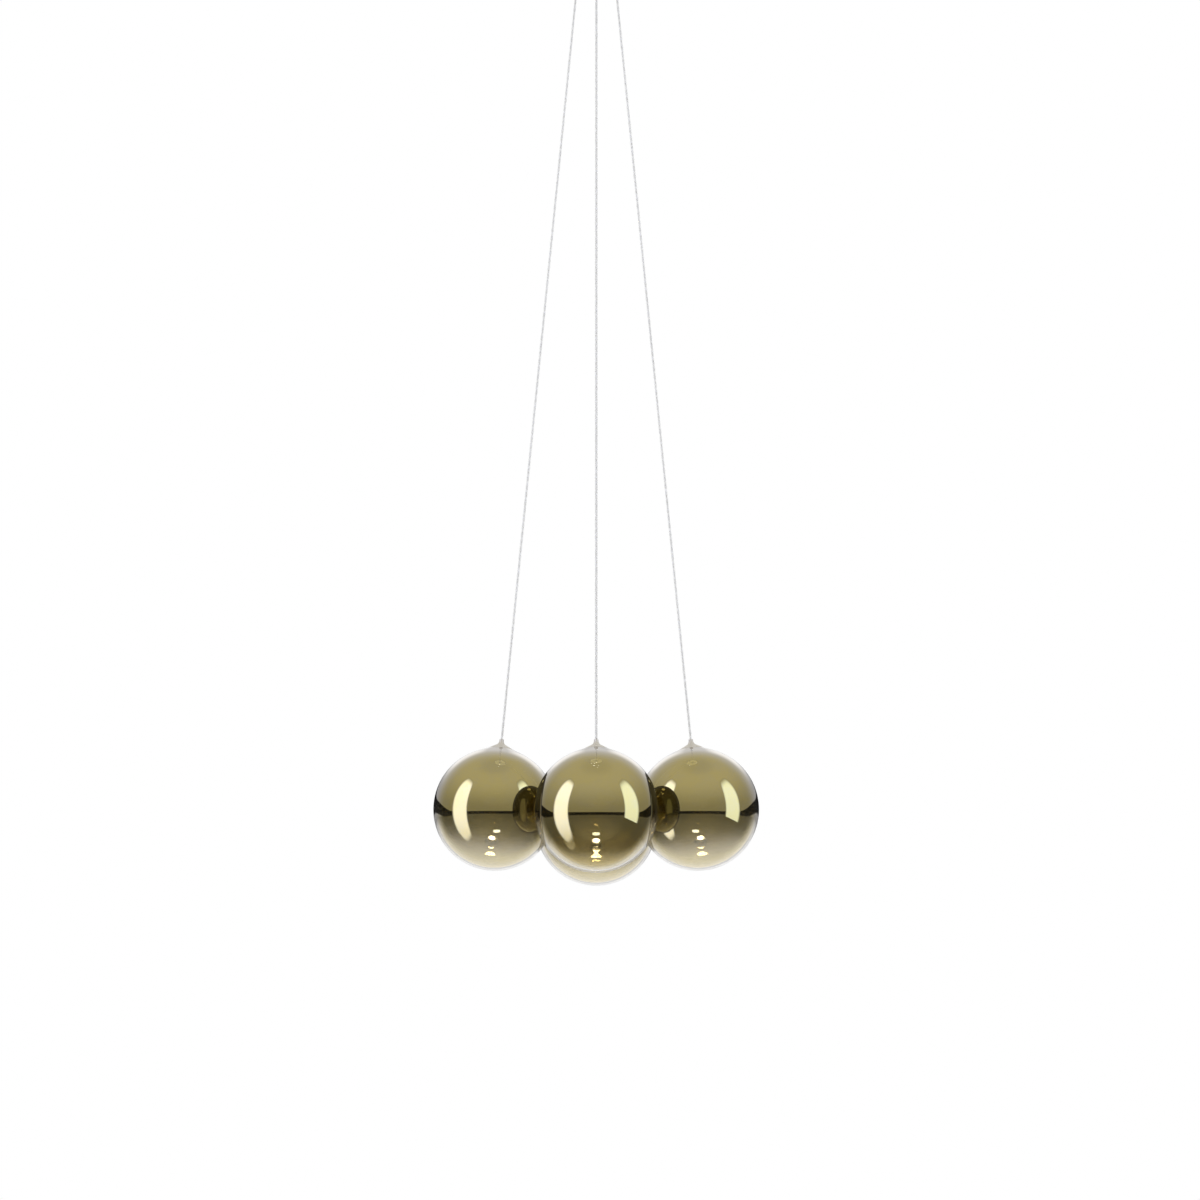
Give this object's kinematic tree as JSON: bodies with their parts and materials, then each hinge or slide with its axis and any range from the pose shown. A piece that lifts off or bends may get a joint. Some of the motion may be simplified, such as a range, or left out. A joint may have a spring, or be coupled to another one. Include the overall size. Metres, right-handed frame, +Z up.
{
  "type": "cluster pendant lamp",
  "caption": "Pendant lamp: metallised glass globes fading to clear hang on thin cables from one round ceiling canopy and rest against each other in a cluster.",
  "frame": {"origin": "middle of the ceiling strap's top face, where the lamp meets the ceiling", "axes": "+Z up into the ceiling, -Y towards the viewer with the front globe, +X to the right globe"},
  "size_m": [0.3982, 0.318, 1.2148],
  "materials": {
    "globe_glass": "blown glass with a gold metal film that fades to clear at the bottom",
    "seal_silicone": "translucent silicone ring",
    "cap_silver": "turned, satin",
    "plain_steel": "zinc plated",
    "turned_brass": "turned",
    "sink_aluminium": "turned ring fins",
    "board_white": "white printed board with a yellow chip",
    "lens_frosted": "frosted dome, lit warm white",
    "cable_clear": "clear sheath over silvery conductors",
    "canopy_white": "white lacquer",
    "driver_case": "moulded",
    "terminal_plastic": "moulded",
    "grip_nickel": "bright nickel"
  },
  "bodies": {
    "canopy": {"canopy_cup": "canopy_white", "ceiling_strap": "plain_steel", "driver": "driver_case", "terminal_block": "terminal_plastic", "left_cable_grip": "grip_nickel", "left_grip_nut": "turned_brass", "right_cable_grip": "grip_nickel", "right_grip_nut": "turned_brass", "front_cable_grip": "grip_nickel", "front_grip_nut": "turned_brass", "back_cable_grip": "grip_nickel", "back_grip_nut": "turned_brass", "left_canopy_screw": "plain_steel", "left_driver_screw": "plain_steel", "right_canopy_screw": "plain_steel", "right_driver_screw": "plain_steel"},
    "left_lamp": {"left_globe": "globe_glass", "left_gasket": "seal_silicone", "left_cap": "cap_silver", "left_toggle": "plain_steel", "left_lock_nut": "turned_brass", "left_stem": "plain_steel", "left_heat_sink": "sink_aluminium", "left_led_board": "board_white", "left_lens": "lens_frosted", "left_cable": "cable_clear"},
    "right_lamp": {"right_globe": "globe_glass", "right_gasket": "seal_silicone", "right_cap": "cap_silver", "right_toggle": "plain_steel", "right_lock_nut": "turned_brass", "right_stem": "plain_steel", "right_heat_sink": "sink_aluminium", "right_led_board": "board_white", "right_lens": "lens_frosted", "right_cable": "cable_clear"},
    "front_lamp": {"front_globe": "globe_glass", "front_gasket": "seal_silicone", "front_cap": "cap_silver", "front_toggle": "plain_steel", "front_lock_nut": "turned_brass", "front_stem": "plain_steel", "front_heat_sink": "sink_aluminium", "front_led_board": "board_white", "front_lens": "lens_frosted", "front_cable": "cable_clear"},
    "back_lamp": {"back_globe": "globe_glass", "back_gasket": "seal_silicone", "back_cap": "cap_silver", "back_toggle": "plain_steel", "back_lock_nut": "turned_brass", "back_stem": "plain_steel", "back_heat_sink": "sink_aluminium", "back_led_board": "board_white", "back_lens": "lens_frosted", "back_cable": "cable_clear"}
  },
  "joints": [
    {"name": "left_swing", "type": "hinge", "parent": "canopy", "child": "left_lamp", "pos_m": [-0.022, 0, -0.0498], "axis": [0, 1, 0], "range_deg": [0, 30]},
    {"name": "right_swing", "type": "hinge", "parent": "canopy", "child": "right_lamp", "pos_m": [0.022, 0, -0.0498], "axis": [0, -1, 0], "range_deg": [0, 30]},
    {"name": "front_swing", "type": "hinge", "parent": "canopy", "child": "front_lamp", "pos_m": [0, -0.022, -0.0498], "axis": [-1, 0, 0], "range_deg": [0, 30]},
    {"name": "back_swing", "type": "hinge", "parent": "canopy", "child": "back_lamp", "pos_m": [0, 0.022, -0.0498], "axis": [1, 0, 0], "range_deg": [0, 30]}
  ]
}
